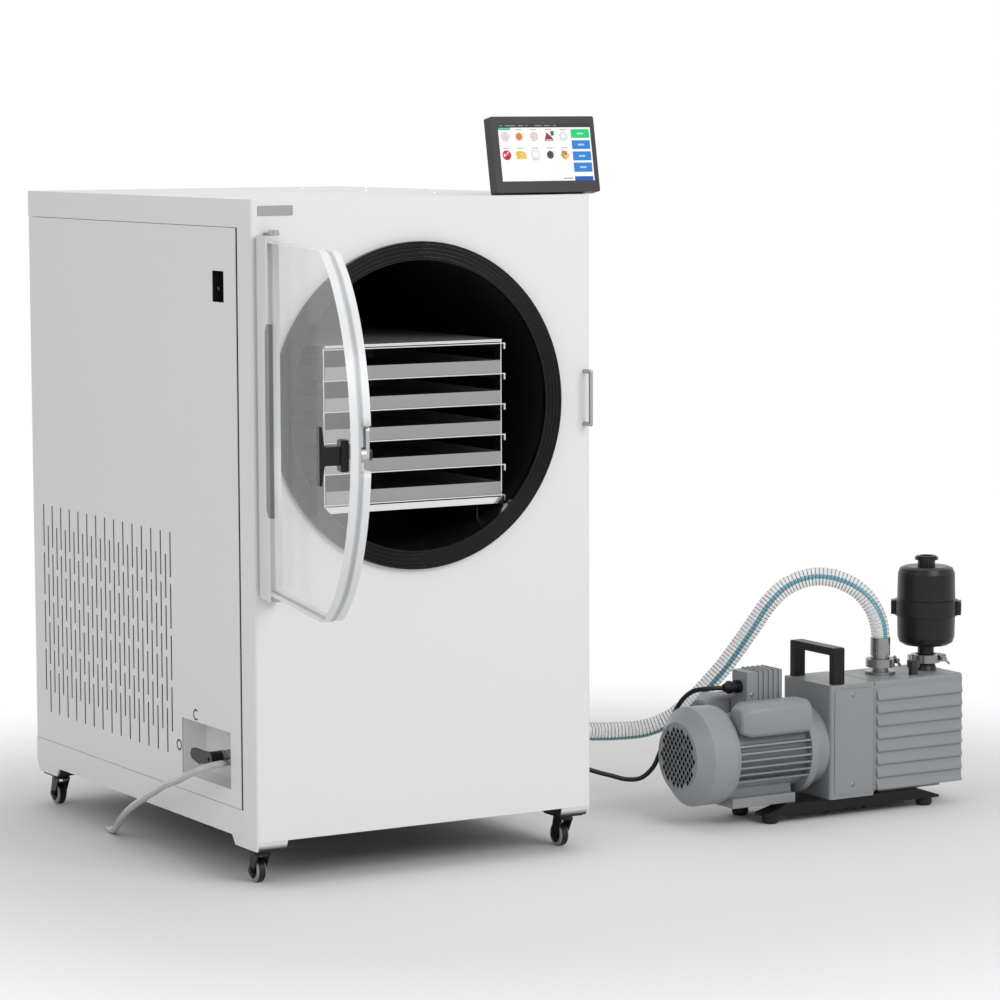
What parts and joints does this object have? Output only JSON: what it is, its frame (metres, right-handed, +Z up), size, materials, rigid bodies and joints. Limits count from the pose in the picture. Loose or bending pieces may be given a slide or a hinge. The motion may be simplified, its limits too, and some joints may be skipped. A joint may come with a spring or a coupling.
{
  "type": "freeze dryer",
  "caption": "Cabinet freeze dryer on swivel casters with a round vacuum chamber, racked trays, a swing-out acrylic door, a tilted display and a separate rotary vane vacuum pump on a hose.",
  "frame": {"origin": "on the floor, under the middle of the overall box measured without the cords", "axes": "+X to the right as seen by someone facing the chamber, from the cabinet towards the pump; +Y from the front of the cabinet to its back; +Z up"},
  "size_m": [1.5404, 1.3966, 1.1788],
  "materials": {
    "white_paint": "satin powder coat",
    "steel": "satin",
    "valve_steel": "polished",
    "tray_grey": "matte",
    "black_enamel": "satin",
    "rubber": "matte",
    "wheel_rubber": "matte",
    "acrylic": "clear, polished",
    "bar_grey": "satin",
    "dark_plastic": "matte",
    "display_plastic": "matte",
    "display_face": "gloss",
    "fin_metal": "satin",
    "pump_paint": "satin",
    "clear_hose": "translucent",
    "milky_hose": "translucent"
  },
  "bodies": {
    "cabinet": {"front_panel": "white_paint", "left_panel": "white_paint", "right_panel": "white_paint", "rear_panel": "white_paint", "top_cover": "white_paint", "base_pan": "white_paint", "mid_deck": "steel", "service_lid": "white_paint", "panel_screws": "steel", "recess_boxes": "white_paint", "breaker": "dark_plastic", "drain_valve": "valve_steel", "chamber": "black_enamel", "door_gasket": "rubber", "rack_frame": "steel", "shelves": "steel", "trays": "tray_grey", "strike": "steel", "hinge_brackets": "steel", "display_bracket": "black_enamel", "display_housing": "display_plastic", "display_glass": "display_face", "compressor": "black_enamel", "condenser": "fin_metal", "vacuum_pipe": "steel", "caster_plates": "black_enamel", "pump_base": "black_enamel", "pump_feet": "rubber", "motor_housing": "pump_paint", "fan_cover": "pump_paint", "terminal_box": "pump_paint", "cable_gland": "dark_plastic", "capacitor_covers": "pump_paint", "pump_block": "pump_paint", "pump_handle": "dark_plastic", "oil_case": "pump_paint", "inlet_adapter": "steel", "kf_clamps": "steel", "exhaust_filter": "dark_plastic", "vacuum_hose": "clear_hose", "pump_cable": "rubber", "drain_hose": "milky_hose"},
    "door": {"door_plate": "acrylic", "door_bar": "bar_grey", "door_clamp": "dark_plastic", "latch_block": "dark_plastic"},
    "latch": {"latch_handle": "dark_plastic", "latch_cam": "steel"},
    "breaker_switch": {"breaker_toggle": "dark_plastic"},
    "drain_lever": {"valve_lever": "dark_plastic"},
    "cooling_fan": {"condenser_fan": "dark_plastic"},
    "pump_fan": {"motor_fan": "dark_plastic"},
    "caster_fl": {"caster_fork_fl": "black_enamel"},
    "wheel_fl": {"caster_wheel_fl": "wheel_rubber"},
    "caster_fr": {"caster_fork_fr": "black_enamel"},
    "wheel_fr": {"caster_wheel_fr": "wheel_rubber"},
    "caster_rl": {"caster_fork_rl": "black_enamel"},
    "wheel_rl": {"caster_wheel_rl": "wheel_rubber"},
    "caster_rr": {"caster_fork_rr": "black_enamel"},
    "wheel_rr": {"caster_wheel_rr": "wheel_rubber"}
  },
  "joints": [
    {"name": "door_hinge", "type": "hinge", "parent": "cabinet", "child": "door", "pos_m": [-0.58176, -0.16889, 0.728], "axis": [0, 0, 1], "range_deg": [-6.5, 103.5]},
    {"name": "latch_turn", "type": "hinge", "parent": "door", "child": "latch", "pos_m": [-0.70455, -0.68035, 0.716], "axis": [0.9724, -0.2334, 0], "range_deg": [0, 90]},
    {"name": "breaker_flip", "type": "hinge", "parent": "cabinet", "child": "breaker_switch", "pos_m": [-0.59176, -0.03689, 0.921], "axis": [0, 1, 0], "range_deg": [0, 20]},
    {"name": "drain_lever_turn", "type": "hinge", "parent": "cabinet", "child": "drain_lever", "pos_m": [-0.61176, -0.01289, 0.183], "axis": [1, 0, 0], "range_deg": [0, 90]},
    {"name": "cooling_fan_spin", "type": "hinge", "parent": "cabinet", "child": "cooling_fan", "pos_m": [-0.51176, 0.41211, 0.2616], "axis": [1, 0, 0], "continuous": true},
    {"name": "pump_fan_spin", "type": "hinge", "parent": "cabinet", "child": "pump_fan", "pos_m": [0.24824, -0.07689, 0.118], "axis": [1, 0, 0], "continuous": true},
    {"name": "caster_swivel_fl", "type": "hinge", "parent": "cabinet", "child": "caster_fl", "pos_m": [-0.58576, -0.11089, 0.05], "axis": [0, 0, 1], "continuous": true},
    {"name": "wheel_spin_fl", "type": "hinge", "parent": "caster_fl", "child": "wheel_fl", "pos_m": [-0.58576, -0.09789, 0.019], "axis": [1, 0, 0], "continuous": true},
    {"name": "caster_swivel_fr", "type": "hinge", "parent": "cabinet", "child": "caster_fr", "pos_m": [-0.03776, -0.11089, 0.05], "axis": [0, 0, 1], "continuous": true},
    {"name": "wheel_spin_fr", "type": "hinge", "parent": "caster_fr", "child": "wheel_fr", "pos_m": [-0.03776, -0.09789, 0.019], "axis": [1, 0, 0], "continuous": true},
    {"name": "caster_swivel_rl", "type": "hinge", "parent": "cabinet", "child": "caster_rl", "pos_m": [-0.58576, 0.65511, 0.05], "axis": [0, 0, 1], "continuous": true},
    {"name": "wheel_spin_rl", "type": "hinge", "parent": "caster_rl", "child": "wheel_rl", "pos_m": [-0.58576, 0.66811, 0.019], "axis": [1, 0, 0], "continuous": true},
    {"name": "caster_swivel_rr", "type": "hinge", "parent": "cabinet", "child": "caster_rr", "pos_m": [-0.03776, 0.65511, 0.05], "axis": [0, 0, 1], "continuous": true},
    {"name": "wheel_spin_rr", "type": "hinge", "parent": "caster_rr", "child": "wheel_rr", "pos_m": [-0.03776, 0.66811, 0.019], "axis": [1, 0, 0], "continuous": true}
  ]
}
